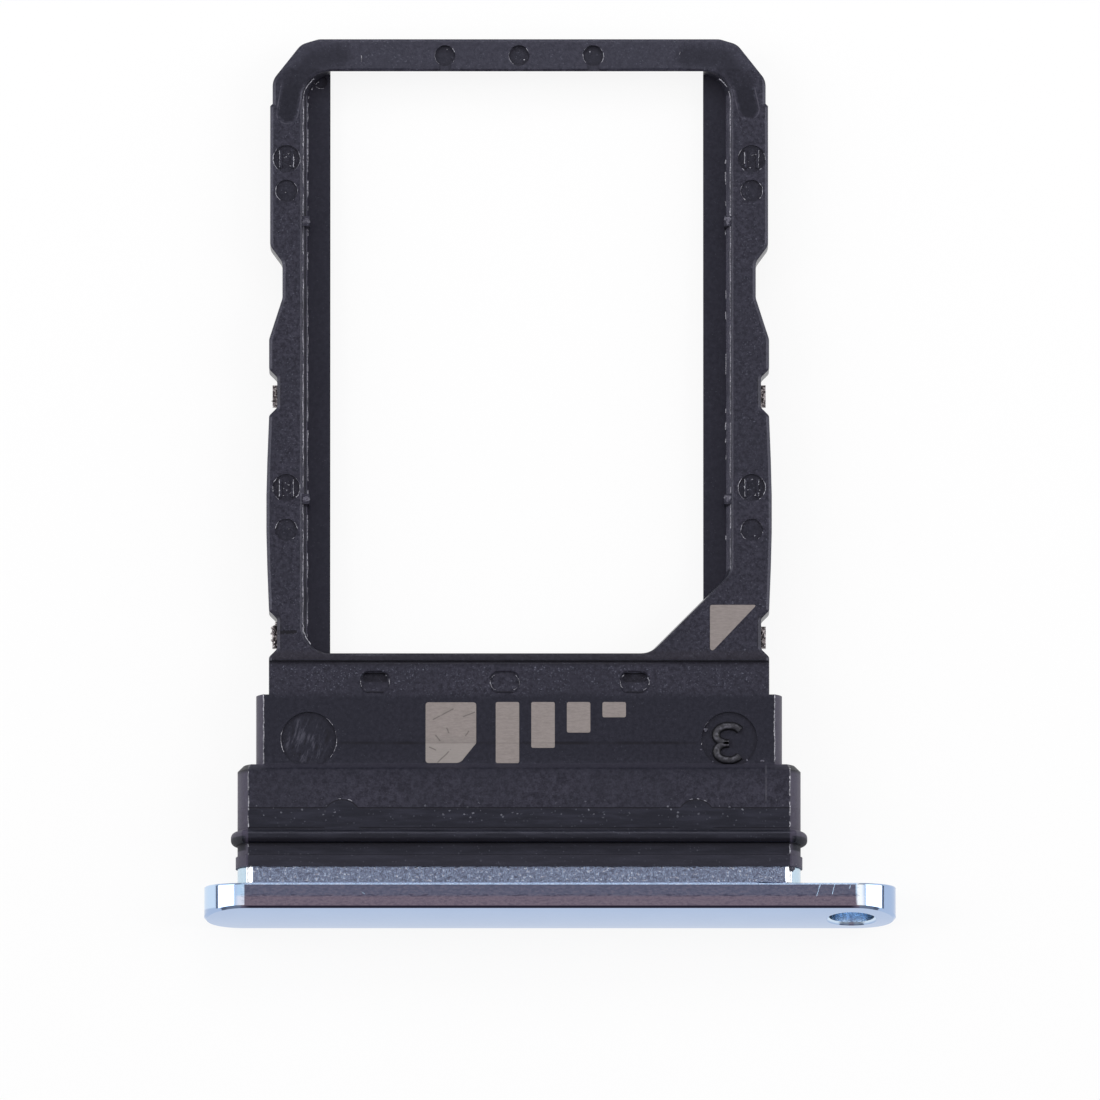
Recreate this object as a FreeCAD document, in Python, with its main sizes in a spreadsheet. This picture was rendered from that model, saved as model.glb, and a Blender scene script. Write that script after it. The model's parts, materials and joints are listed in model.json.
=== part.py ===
import FreeCAD, Part
import math
import os
import re

import Sketcher
from FreeCAD import Vector

# A card tray for a phone: a metal faceplate whose tongue is moulded into a plastic card carrier, a soft
# seal round the carrier's root, and a thin sheet stiffener inside its frame.
# While it is drawn, X runs along the faceplate, Y points into the phone from the face on which the
# flange seats, and Z is up with the faceplate's lower edge at 0.

# Driving sizes in millimetres and degrees
SIZES = {
    # Card, and the room round it
    "card_width": 8.80,
    "card_length": 12.30,
    "card_cut": 1.70,
    "side_clearance": 0.05,
    "end_clearance": 0.03,
    # Heights, from the ledges outwards
    "ledge_thickness": 0.30,
    "pocket_depth": 0.62,
    "crown_rise": 0.08,
    "root_rise": 0.13,
    "neck_drop": 0.04,
    "flange_rise": 0.26,
    # Widths, each beyond the one before it
    "rail_width": 0.815,
    "crown_proud": 0.02,
    "guide_proud": 0.10,
    "block_proud": 0.29,
    "root_proud": 0.68,
    "short_overhang": 0.70,
    "pin_overhang": 2.00,
    # Lengths, from the seating face to the tip
    "neck_length": 0.37,
    "seal_length": 1.25,
    "root_length": 0.92,
    "block_length": 1.48,
    "crown_length": 0.67,
    "pocket_wall": 0.21,
    "tip_bar": 0.68,
    # Faceplate
    "head_flank": 0.52,
    "face_slant": 9.0,
    "face_crown": 11.0,
    "front_chamfer": 0.05,
    "back_rounding": 0.04,
    "neck_facet": 0.31,
    "neck_fillet": 0.05,
    "pin_diameter": 0.95,
    "pin_inset": 0.93,
    "pin_sink": 0.06,
    "tongue_inset": 1.12,
    "tongue_thickness": 0.46,
    "tongue_length": 3.35,
    "key_diameter": 1.30,
    "key_spacing": 3.00,
    "key_set": 2.05,
    # Root and seal
    "root_facet": 0.23,
    "root_slope": 0.12,
    "seal_depth": 0.22,
    "lip_set": 0.63,
    "lip_length": 0.28,
    "lip_height": 0.14,
    "flare_length": 0.24,
    "flare_height": 0.04,
    "lobe_diameter": 0.84,
    "lobe_set": 0.25,
    "lobe_spacing": 7.44,
    # Block
    "block_facet": 0.16,
    "groove_width": 0.055,
    "groove_depth": 0.10,
    "slot_set": 0.41,
    "slot_spacing": 2.73,
    "slot_shift": -0.30,
    "slot_width": 0.61,
    "slot_height": 0.44,
    "slot_depth": 0.07,
    "slot_edge": 0.02,
    "well_depth": 0.24,
    "disc_set": 0.52,
    "disc_inset": 1.11,
    "disc_diameter": 1.18,
    "disc_depth": 0.07,
    # Outer sides of the rails, with places counted from the pocket's near end
    "frame_edge": 0.03,
    "guide_place": 2.95,
    "guide_radius": 30.0,
    "detent_place": 7.90,
    "detent_depth": 0.26,
    "detent_flat": 0.76,
    "detent_steep": 0.35,
    "detent_ramp": 0.87,
    "detent_rounding": 0.22,
    "low_stub": 0.41,
    "high_stub": 5.52,
    "notch_depth": 0.17,
    "notch_flat": 0.64,
    "notch_slope": 0.17,
    "notch_rounding": 0.10,
    # Tip corners, counted from the tip
    "step_place": 1.42,
    "step_depth": 0.05,
    "chamfer_along": 0.87,
    "chamfer_across": 0.60,
    "brow_along": 0.11,
    "brow_across": 0.37,
    "tip_rounding": 0.35,
    # Pocket and window
    "pocket_shift": -0.05,
    "pocket_corner": 0.58,
    "pocket_draft": 9.0,
    "mouth_edge": 0.035,
    "cut_rounding": 0.50,
    "ledge_width": 0.50,
    "window_flare": 0.12,
    "grip_length": 0.21,
    "grip_proud": 0.06,
    "grip_drop": 0.04,
    "low_grip": 3.27,
    "high_grip": 9.16,
    "dimple_diameter": 0.28,
    "dimple_inset": 0.30,
    "dimple_set": 0.15,
    "dimple_depth": 0.07,
    # Round marks left by the mould
    "mark_inset": 0.345,
    "mark_depth": 0.06,
    "mark_diameter": 0.58,
    "low_mark": 3.50,
    "high_mark": 10.47,
    "bar_width": 0.045,
    "bar_length": 0.38,
    "bar_spacing": 0.24,
    "dot_diameter": 0.47,
    "low_dot": 2.61,
    "high_dot": 9.79,
    "tip_mark_set": 0.33,
    "tip_mark_diameter": 0.44,
    "tip_mark_spacing": 1.56,
    "tip_mark_foot": 0.26,
    # Sheet stiffener inside the plastic
    "sheet_thickness": 0.14,
    "sheet_cover": 0.13,
    "sheet_side": 0.19,
    "sheet_gap": 0.25,
    "stub_width": 0.46,
    "stub_short": 0.07,
    # How far a cutting outline runs past what it cuts
    "cut_margin": 0.50,
}

# What follows from the driving sizes
DERIVED = {
    "pocket_width": "card_width + side_clearance",
    "pocket_length": "card_length + end_clearance",
    "frame_width": "pocket_width + 2 * rail_width",
    "crown_width": "frame_width + 2 * crown_proud",
    "guide_width": "frame_width + 2 * guide_proud",
    "block_width": "frame_width + 2 * block_proud",
    "root_width": "frame_width + 2 * root_proud",
    "head_width": "root_width + short_overhang + pin_overhang",
    "carrier_shift": "(short_overhang - pin_overhang) / 2",
    "rail_thickness": "ledge_thickness + pocket_depth",
    "block_thickness": "rail_thickness + crown_rise",
    "root_thickness": "block_thickness + 2 * root_rise",
    "neck_thickness": "root_thickness - 2 * neck_drop",
    "head_thickness": "neck_thickness + 2 * flange_rise",
    "head_middle": "head_thickness / 2",
    "frame_base": "head_middle - block_thickness / 2",
    "ledge_top": "frame_base + ledge_thickness",
    "rail_top": "frame_base + rail_thickness",
    "block_top": "frame_base + block_thickness",
    "root_top": "head_middle + root_thickness / 2",
    "seal_end": "neck_length + seal_length",
    "root_end": "seal_end + root_length",
    "block_end": "root_end + block_length",
    "crown_end": "block_end + crown_length",
    "pocket_start": "crown_end + pocket_wall",
    "pocket_end": "pocket_start + pocket_length",
    "frame_end": "pocket_end + tip_bar",
    "face_reach": "head_flank + head_thickness * tan(face_slant)",
    "tongue_end": "neck_length + tongue_length",
}

# Two coordinates nearer than this are the same place
TOUCH = 1e-4

doc = FreeCAD.newDocument("card_tray")
sheet = doc.addObject("Spreadsheet::Sheet", "sizes")


def fill_sheet():
    """Write each driving size to the sheet under its own name."""
    for row, (name, number) in enumerate(SIZES.items(), start=1):
        sheet.set("A%d" % row, name)
        sheet.set("B%d" % row, str(number))
        sheet.setAlias("B%d" % row, name)
    doc.recompute()


def spelled_out(text, owner=""):
    """An expression with each derived name replaced by what it follows from."""
    def replace(match):
        name = match.group(0)
        if name in DERIVED:
            return "(%s)" % spelled_out(DERIVED[name], owner)
        return owner + name
    return re.sub(r"\b[a-z]+(?:_[a-z]+)+\b", replace, text)


def value(text):
    """The number that an expression gives."""
    return float(sheet.evalExpression(spelled_out(text)))


def tie(item, target, text):
    """Bind a property or a constraint to an expression."""
    item.setExpression(target, spelled_out(text, "sizes."))


# Outlines

def corner(across, along, rounding=""):
    """A corner of an outline, sharp or rounded."""
    return {"kind": "corner", "x": across, "y": along, "rounding": rounding}


def through(across, along):
    """A point that makes the edge between two sharp corners an arc."""
    return {"kind": "through", "x": across, "y": along, "rounding": ""}


def mirrored(path):
    """The same steps on the other side of the centre line, in reverse order."""
    return [dict(step, x="-(%s)" % step["x"]) for step in reversed(path)]


def rectangle(left, right, low, high, rounding=""):
    """Four corners, counter-clockwise."""
    places = [(left, low), (right, low), (right, high), (left, high)]
    return [corner(x, y, rounding) for x, y in places]


def lens(half_width, half_height, facet):
    """A flat bar's section: parallel faces with a shallow arc at each end."""
    inner = "(%s) - (%s)" % (half_width, facet)
    side = [corner(inner, "-(%s)" % half_height), through(half_width, "0"), corner(inner, half_height)]
    return side + mirrored(side)


def add_arc(sketch, start, middle, end):
    """Add the arc through three points. Gives its number and which of its ends is the start."""
    circle = Part.Arc(start, middle, end).toShape().Curve
    centre, radius = circle.Center, circle.Radius
    turn = (middle - start).cross(end - middle).z
    first, last = (start, end) if turn > 0 else (end, start)
    first_angle = math.atan2(first.y - centre.y, first.x - centre.x)
    last_angle = math.atan2(last.y - centre.y, last.x - centre.x)
    whole = Part.Circle(centre, Vector(0, 0, 1), radius)
    number = sketch.addGeometry(Part.ArcOfCircle(whole, first_angle, last_angle), False)
    return number, (1, 2) if turn > 0 else (2, 1)


def pin_point(sketch, number, end, across, along):
    """Tie one point of a sketch to its place, given as two expressions."""
    for kind, text in (("DistanceX", across), ("DistanceY", along)):
        made = sketch.addConstraint(Sketcher.Constraint(kind, -1, 1, number, end, value(text)))
        tie(sketch, "Constraints[%d]" % made, text)


def trimmed(at, towards, other, radius):
    """Where a rounding of this radius leaves the edge from a corner towards its neighbour."""
    ray = (towards - at).normalize()
    half_angle = ray.getAngle((other - at).normalize()) / 2
    return at + ray * (radius / math.tan(half_angle))


def draw(sketch, path):
    """Draw a closed outline, every corner and radius of it tied to the sheet."""
    corners = [step for step in path if step["kind"] == "corner"]
    bows = {}
    for place, step in enumerate(path):
        if step["kind"] == "through":
            bows[corners.index(path[place - 1])] = step
    count = len(corners)
    spots = [Vector(value(step["x"]), value(step["y"]), 0) for step in corners]
    radii = [value(step["rounding"]) if step["rounding"] else 0.0 for step in corners]
    starts, ends = [], []
    for i in range(count):
        before, here, after = spots[i - 1], spots[i], spots[(i + 1) % count]
        ends.append(trimmed(here, before, after, radii[i]) if radii[i] else here)
        starts.append(trimmed(here, after, before, radii[i]) if radii[i] else here)
    edges = []
    for i in range(count):
        start, end = starts[i], ends[(i + 1) % count]
        if i in bows:
            middle = Vector(value(bows[i]["x"]), value(bows[i]["y"]), 0)
            edges.append(add_arc(sketch, start, middle, end))
        else:
            edges.append((sketch.addGeometry(Part.LineSegment(start, end), False), (1, 2)))
    for i in range(count):
        (before, (_, before_end)), (after, (after_start, _)) = edges[i - 1], edges[i]
        if not radii[i]:
            sketch.addConstraint(Sketcher.Constraint("Coincident", before, before_end, after, after_start))
            pin_point(sketch, after, after_start, corners[i]["x"], corners[i]["y"])
            continue
        peak = sketch.addGeometry(Part.Point(spots[i]), True)
        pin_point(sketch, peak, 1, corners[i]["x"], corners[i]["y"])
        bisector = ((ends[i] - spots[i]) + (starts[i] - spots[i])).normalize()
        half_angle = (ends[i] - spots[i]).getAngle(bisector)
        middle = spots[i] + bisector * (radii[i] / math.sin(half_angle) - radii[i])
        arc, (arc_start, arc_end) = add_arc(sketch, ends[i], middle, starts[i])
        sketch.addConstraint([
            Sketcher.Constraint("PointOnObject", peak, 1, before),
            Sketcher.Constraint("PointOnObject", peak, 1, after),
            Sketcher.Constraint("Tangent", before, before_end, arc, arc_start),
            Sketcher.Constraint("Tangent", arc, arc_end, after, after_start),
        ])
        made = sketch.addConstraint(Sketcher.Constraint("Radius", arc, radii[i]))
        tie(sketch, "Constraints[%d]" % made, corners[i]["rounding"])
    for i, bow in bows.items():
        peak = sketch.addGeometry(Part.Point(Vector(value(bow["x"]), value(bow["y"]), 0)), True)
        pin_point(sketch, peak, 1, bow["x"], bow["y"])
        sketch.addConstraint(Sketcher.Constraint("PointOnObject", peak, 1, edges[i][0]))


def draw_circle(sketch, across, along, diameter):
    """Draw a circle, its centre and diameter tied to the sheet."""
    spot = Vector(value(across), value(along), 0)
    circle = Part.Circle(spot, Vector(0, 0, 1), value(diameter) / 2)
    number = sketch.addGeometry(circle, False)
    pin_point(sketch, number, 3, across, along)
    made = sketch.addConstraint(Sketcher.Constraint("Diameter", number, value(diameter)))
    tie(sketch, "Constraints[%d]" % made, diameter)


# Features

def new_body(label):
    """A body with the shared place: the finished tray's middle is at Y = 0."""
    body = doc.addObject("PartDesign::Body", label)
    tie(body, "Placement.Base.y", "(face_reach - frame_end) / 2")
    return body


def new_sketch(body, role, name, across="0", up="0", out="0"):
    """A sketch on one of the body's own planes, moved across it, up it and off it."""
    sketch = body.newObject("Sketcher::SketchObject", name)
    plane = [item for item in body.Origin.OriginFeatures if item.Role == role][0]
    sketch.AttachmentSupport = [(plane, "")]
    sketch.MapMode = "FlatFace"
    tie(sketch, "AttachmentOffset.Base.x", across)
    tie(sketch, "AttachmentOffset.Base.y", up)
    tie(sketch, "AttachmentOffset.Base.z", out)
    return sketch


def level_sketch(body, name, height):
    """A level sketch whose X is measured from the carrier's centre line."""
    return new_sketch(body, "XY_Plane", name, across="carrier_shift", out=height)


def section_sketch(body, name, depth):
    """An upright sketch across the carrier at some depth into the phone, centred on its section."""
    return new_sketch(body, "XZ_Plane", name, across="carrier_shift", up="head_middle", out="-(%s)" % depth)


def solid(body, kind, name, sketch, length="", side="One side", reverse=False):
    """Pad or pocket a sketch; with no length it cuts through everything."""
    feature = body.newObject("PartDesign::" + kind, name)
    feature.Profile = sketch
    feature.SideType = side
    feature.Reversed = reverse
    if length:
        tie(feature, "Length", length)
    else:
        feature.Type = "ThroughAll"
    doc.recompute()
    return feature


def dress(body, kind, name, target, size, test):
    """Fillet or chamfer the edges of the body's last feature that pass a test."""
    base = body.Tip
    names = ["Edge%d" % (i + 1) for i, edge in enumerate(base.Shape.Edges) if test(edge.BoundBox)]
    feature = body.newObject("PartDesign::" + kind, name)
    feature.Base = (base, names)
    tie(feature, target, size)
    doc.recompute()
    return feature


def near(first, second):
    """Whether two coordinates are the same place."""
    return abs(first - second) < TOUCH


# Faceplate

def faceplate():
    """The metal piece: a full-round flange with a slanted, crowned front, a neck and a keyed tongue."""
    body = new_body("faceplate")
    outline = new_sketch(body, "XZ_Plane", "flange_outline", up="head_middle")
    draw(outline, lens("head_width / 2", "head_middle", "head_middle"))
    solid(body, "Pad", "flange", outline, "face_reach + cut_margin")

    front = new_sketch(body, "YZ_Plane", "front_profile")
    bulge = "(face_crown - sqrt(face_crown^2 - (head_middle / cos(face_slant))^2))"
    draw(front, [
        corner("-head_flank", "head_thickness"),
        corner("-head_flank", "head_thickness + cut_margin"),
        corner("-face_reach - 2 * cut_margin", "head_thickness + cut_margin"),
        corner("-face_reach - 2 * cut_margin", "-cut_margin"),
        corner("-face_reach", "-cut_margin"),
        corner("-face_reach", "0"),
        through("-(head_flank + face_reach) / 2 - %s * cos(face_slant)" % bulge,
                "head_middle + %s * sin(face_slant)" % bulge),
    ])
    solid(body, "Pocket", "front_face", front, side="Symmetric")
    flank = value("head_flank")
    dress(body, "Chamfer", "front_edge", "Size", "front_chamfer", lambda box: box.YMax < TOUCH - flank)
    dress(body, "Fillet", "back_edge", "Radius", "back_rounding", lambda box: near(box.YMin, 0))

    neck = section_sketch(body, "neck_section", "0")
    draw(neck, lens("root_width / 2", "neck_thickness / 2", "neck_facet"))
    solid(body, "Pad", "neck", neck, "neck_length", reverse=True)
    top = value("head_middle + neck_thickness / 2")
    dress(body, "Fillet", "neck_corner", "Radius", "neck_fillet",
          lambda box: near(box.YMin, 0) and near(box.YMax, 0) and box.ZMax < top + TOUCH)

    tongue = level_sketch(body, "tongue_outline", "head_middle")
    half = "(root_width / 2 - tongue_inset)"
    draw(tongue, rectangle("-" + half, half, "0", "tongue_end"))
    for step in (-1, 0, 1):
        draw_circle(tongue, "%d * key_spacing" % step, "neck_length + key_set", "key_diameter")
    solid(body, "Pad", "tongue", tongue, "tongue_thickness", side="Symmetric")

    hole = new_sketch(body, "XZ_Plane", "pin_hole_outline", up="head_middle")
    draw_circle(hole, "head_width / 2 - pin_inset", "0", "pin_diameter")
    solid(body, "Pocket", "pin_hole", hole, side="Symmetric")
    hole_left = value("head_width / 2 - pin_inset - pin_diameter / 2")
    dress(body, "Chamfer", "pin_hole_sink", "Size", "pin_sink",
          lambda box: near(box.XMin, hole_left) and box.YMax < -flank)
    return body


# Card carrier

def stub_notch(place):
    """The four corners of a stub notch in a rail's side, from its low end to its high end."""
    middle = "pocket_start + " + place
    outer, inner = "crown_width / 2", "crown_width / 2 - notch_depth"
    return [
        corner(outer, middle + " - notch_flat / 2 - notch_slope", "notch_rounding"),
        corner(inner, middle + " - notch_flat / 2", "notch_rounding"),
        corner(inner, middle + " + notch_flat / 2", "notch_rounding"),
        corner(outer, middle + " + notch_flat / 2 + notch_slope", "notch_rounding"),
    ]


def detent():
    """The spring's notch in a rail's side: a long ramp, a flat and a steep end."""
    middle = "pocket_start + detent_place"
    inner = "frame_width / 2 - detent_depth"
    return [
        corner("crown_width / 2", middle + " - detent_flat / 2 - detent_ramp", "detent_rounding"),
        corner(inner, middle + " - detent_flat / 2", "detent_rounding"),
        corner(inner, middle + " + detent_flat / 2", "detent_rounding"),
        corner("frame_width / 2", middle + " + detent_flat / 2 + detent_steep", "detent_rounding"),
    ]


def tip_corner():
    """A small step, a steep chamfer and a low brow that leads the tray in."""
    side = "frame_width / 2 - step_depth"
    return [
        corner("frame_width / 2", "frame_end - step_place"),
        corner(side, "frame_end - step_place + step_depth"),
        corner(side, "frame_end - chamfer_along", "tip_rounding"),
        corner(side + " - chamfer_across", "frame_end - brow_along", "tip_rounding"),
        corner(side + " - chamfer_across - brow_across", "frame_end", "tip_rounding"),
    ]


def frame_side():
    """One rail's outer side from the block to the tip."""
    return [
        corner("crown_width / 2", "block_end - cut_margin"),
        *stub_notch("low_stub"),
        corner("guide_width / 2", "pocket_start + guide_place", "guide_radius"),
        *stub_notch("high_stub"),
        *detent(),
        *tip_corner(),
    ]


def card_outline(grow):
    """The card's outline with its cut corner, opened out all round by the draft of the walls."""
    left, right = "-(pocket_width / 2 + %s)" % grow, "pocket_width / 2 + %s" % grow
    return [
        corner(left, "pocket_start", "pocket_corner"),
        corner(right + " - card_cut", "pocket_start", "cut_rounding"),
        corner(right, "pocket_start + card_cut", "cut_rounding"),
        corner(right, "pocket_end", "pocket_corner"),
        corner(left, "pocket_end", "pocket_corner"),
    ]


def window_outline(flare):
    """The see-through opening: the pocket less a ledge along each side, lengthened by a flare at each end."""
    left, right = "-(pocket_width / 2 - ledge_width)", "pocket_width / 2 - ledge_width"
    return [
        corner(left, "pocket_start - " + flare),
        corner("pocket_width / 2 - card_cut - " + flare, "pocket_start - " + flare, "cut_rounding"),
        corner(right, "pocket_start + card_cut - ledge_width"),
        corner(right, "pocket_end + " + flare),
        corner(left, "pocket_end + " + flare),
    ]


def root_and_block(body):
    """The core under the seal, the root flush with the seal, and the narrower block behind it."""
    core = section_sketch(body, "seal_core_section", "neck_length")
    draw(core, lens("root_width / 2 - seal_depth", "root_thickness / 2 - seal_depth", "root_facet"))
    solid(body, "Pad", "seal_core", core, "seal_length + root_length / 2", reverse=True)
    root = section_sketch(body, "root_section", "seal_end")
    draw(root, lens("root_width / 2", "root_thickness / 2", "root_facet"))
    solid(body, "Pad", "root", root, "root_length", reverse=True)
    end = value("root_end")
    dress(body, "Chamfer", "root_shoulder", "Size", "root_slope",
          lambda box: near(box.YMin, end) and near(box.YMax, end))
    block = section_sketch(body, "block_section", "root_end - root_slope")
    draw(block, lens("block_width / 2", "block_thickness / 2", "block_facet"))
    solid(body, "Pad", "block", block, "block_length + root_slope", reverse=True)


def frame_and_crown(body):
    """The rails with their detents and notches, and the block's thicker crown between them."""
    side = frame_side()
    frame = level_sketch(body, "frame_outline", "frame_base")
    draw(frame, side + mirrored(side))
    solid(body, "Pad", "frame", frame, "rail_thickness")
    levels, start = (value("frame_base"), value("rail_top")), value("crown_end")
    dress(body, "Chamfer", "frame_edges", "Size", "frame_edge",
          lambda box: box.YMax > start and any(near(box.ZMin, z) and near(box.ZMax, z) for z in levels))
    crown = level_sketch(body, "crown_outline", "frame_base")
    half = "crown_width / 2"
    draw(crown, rectangle("-" + half, half, "block_end - cut_margin", "crown_end"))
    solid(body, "Pad", "crown", crown, "block_thickness")
    groove = level_sketch(body, "groove_outline", "rail_top")
    half = "(crown_width / 2 + cut_margin)"
    draw(groove, rectangle("-" + half, half, "crown_end", "crown_end + groove_width"))
    solid(body, "Pocket", "step_groove", groove, "groove_depth")


def loft_between(body, name, low, high):
    """Cut away what lies between two closed sketches."""
    cut = body.newObject("PartDesign::SubtractiveLoft", name)
    cut.Profile = low
    cut.Sections = [high]
    cut.Ruled = True
    doc.recompute()


def card_pocket(body):
    """The drafted pocket down to its ledges, and the window, whose ends widen downwards."""
    shift = "carrier_shift + pocket_shift"
    foot = new_sketch(body, "XY_Plane", "pocket_foot", across=shift, out="ledge_top")
    draw(foot, card_outline("0"))
    mouth = new_sketch(body, "XY_Plane", "pocket_mouth", across=shift, out="rail_top")
    draw(mouth, card_outline("pocket_depth * tan(pocket_draft)"))
    loft_between(body, "card_pocket", foot, mouth)
    top, low, high = value("rail_top"), value("pocket_start") - TOUCH, value("pocket_end") + TOUCH
    dress(body, "Chamfer", "pocket_mouth_edge", "Size", "mouth_edge",
          lambda box: near(box.ZMin, top) and near(box.ZMax, top) and low < box.YMin and box.YMax < high)
    under = new_sketch(body, "XY_Plane", "window_foot", across=shift, out="frame_base")
    draw(under, window_outline("window_flare"))
    over = new_sketch(body, "XY_Plane", "window_head", across=shift, out="rail_top - mouth_edge")
    draw(over, window_outline("0"))
    loft_between(body, "window", under, over)


def grips_and_dimple(body):
    """Four small grips on the pocket's side walls, and a pin's dimple in one ledge."""
    shift = "carrier_shift + pocket_shift"
    grips = new_sketch(body, "XY_Plane", "grip_outlines", across=shift, out="ledge_top")
    inner, outer = "(pocket_width / 2 - grip_proud)", "(pocket_width / 2 + pocket_depth * tan(pocket_draft))"
    for place in ("low_grip", "high_grip"):
        low = "pocket_start + %s - grip_length / 2" % place
        high = "pocket_start + %s + grip_length / 2" % place
        draw(grips, rectangle("-" + outer, "-" + inner, low, high))
        draw(grips, rectangle(inner, outer, low, high))
    solid(body, "Pad", "grips", grips, "pocket_depth - grip_drop")
    dimple = new_sketch(body, "XY_Plane", "dimple_outline", across=shift, out="ledge_top")
    draw_circle(dimple, "-(pocket_width / 2 - dimple_inset)", "pocket_end - dimple_set", "dimple_diameter")
    solid(body, "Pocket", "dimple", dimple, "dimple_depth")


def rail_marks(body):
    """Shallow round marks on the rails, two of them on each with a pair of fine bars."""
    half = "(frame_width / 2 - mark_inset)"
    marks = level_sketch(body, "rail_mark_outlines", "rail_top")
    for side in ("-", ""):
        for place in ("low_mark", "high_mark"):
            middle = "pocket_start + " + place
            draw_circle(marks, side + half, middle, "mark_diameter")
            for step in (-1, 1):
                across = "%s%s + %d * bar_spacing / 2" % (side, half, step)
                draw(marks, rectangle(across + " - bar_width / 2", across + " + bar_width / 2",
                                      middle + " - bar_length / 2", middle + " + bar_length / 2"))
        for place in ("low_dot", "high_dot"):
            draw_circle(marks, side + half, "pocket_start + " + place, "dot_diameter")
    solid(body, "Pocket", "rail_marks", marks, "mark_depth")


def tip_marks(body):
    """Three round marks on the tip bar, the outer two open to the pocket."""
    marks = level_sketch(body, "tip_mark_outlines", "rail_top")
    feet = level_sketch(body, "tip_mark_feet_outlines", "rail_top")
    for step in (-1, 0, 1):
        middle = "%d * tip_mark_spacing" % step
        draw_circle(marks, middle, "pocket_end + tip_mark_set", "tip_mark_diameter")
        if step:
            draw(feet, rectangle(middle + " - tip_mark_foot / 2", middle + " + tip_mark_foot / 2",
                                 "pocket_end - cut_margin", "pocket_end + tip_mark_set"))
    solid(body, "Pocket", "tip_marks", marks, "2 * mark_depth")
    solid(body, "Pocket", "tip_mark_feet", feet, "mark_depth")


def block_marks(body):
    """Three rounded slots near the crown's step, the outer two with a well, and two shallow discs."""
    slots = level_sketch(body, "slot_outlines", "block_top")
    wells = level_sketch(body, "well_outlines", "block_top")
    place = "crown_end - slot_set"
    for step in (-1, 0, 1):
        left = "slot_shift + %d * slot_spacing - slot_width / 2" % step
        right = "slot_shift + %d * slot_spacing + slot_width / 2" % step
        draw(slots, rectangle(left, right, place + " - slot_height / 2", place + " + slot_height / 2",
                              "0.4 * slot_height"))
        if step:
            draw(wells, rectangle(left + " + 2 * slot_edge", right + " - 2 * slot_edge", place,
                                  place + " + slot_height / 2 - slot_edge", "0.2 * slot_height"))
    solid(body, "Pocket", "slots", slots, "slot_depth")
    top, low, high = value("block_top"), value(place + " - slot_height"), value(place + " + slot_height")
    dress(body, "Chamfer", "slot_edges", "Size", "slot_edge",
          lambda box: near(box.ZMin, top) and near(box.ZMax, top) and low < box.YMin and box.YMax < high)
    solid(body, "Pocket", "slot_wells", wells, "well_depth")
    discs = level_sketch(body, "disc_outlines", "block_top")
    for side in ("-", ""):
        draw_circle(discs, side + "(block_width / 2 - disc_inset)", "root_end + disc_set", "disc_diameter")
    solid(body, "Pocket", "discs", discs, "disc_depth")


def carrier_moulding():
    """The whole plastic moulding, before the pieces that it is moulded with are cut from it."""
    body = new_body("carrier_moulding")
    root_and_block(body)
    frame_and_crown(body)
    card_pocket(body)
    grips_and_dimple(body)
    rail_marks(body)
    tip_marks(body)
    block_marks(body)
    return body


def card_carrier(moulding, inserts):
    """The moulding less the pieces set in it, so that each of them fits face to face."""
    embedded = doc.addObject("Part::MultiFuse", "embedded_pieces")
    embedded.Shapes = inserts
    carrier = doc.addObject("Part::Cut", "card_carrier")
    carrier.Base = moulding
    carrier.Tool = embedded
    doc.recompute()
    return carrier


# Seal

def seal():
    """The soft sleeve round the root, with a sealing lip, a flared end and two lobes in the root."""
    body = new_body("seal")
    stretches = [
        ("sleeve", "neck_length", "seal_length", "0"),
        ("flare", "neck_length", "flare_length", "flare_height"),
        ("lip", "neck_length + lip_set - lip_length / 2", "lip_length", "lip_height"),
    ]
    for name, start, length, grow in stretches:
        ring = section_sketch(body, name + "_section", start)
        draw(ring, lens("root_width / 2 + " + grow, "root_thickness / 2 + " + grow, "root_facet"))
        solid(body, "Pad", name, ring, length, reverse=True)
    crest = value("root_top + lip_height")
    dress(body, "Fillet", "lip_rounding", "Radius", "0.4 * lip_length",
          lambda box: near(box.YMin, box.YMax) and box.ZMax > crest - TOUCH)
    core = section_sketch(body, "core_section", "neck_length")
    draw(core, lens("root_width / 2 - seal_depth", "root_thickness / 2 - seal_depth", "root_facet"))
    solid(body, "Pocket", "core_opening", core, side="Symmetric")
    lobes = level_sketch(body, "lobe_outlines", "root_top")
    for side in ("-", ""):
        draw_circle(lobes, side + "lobe_spacing / 2", "seal_end - lobe_set", "lobe_diameter")
    solid(body, "Pad", "lobes", lobes, "seal_depth", reverse=True)
    return body


# Stiffener

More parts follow.
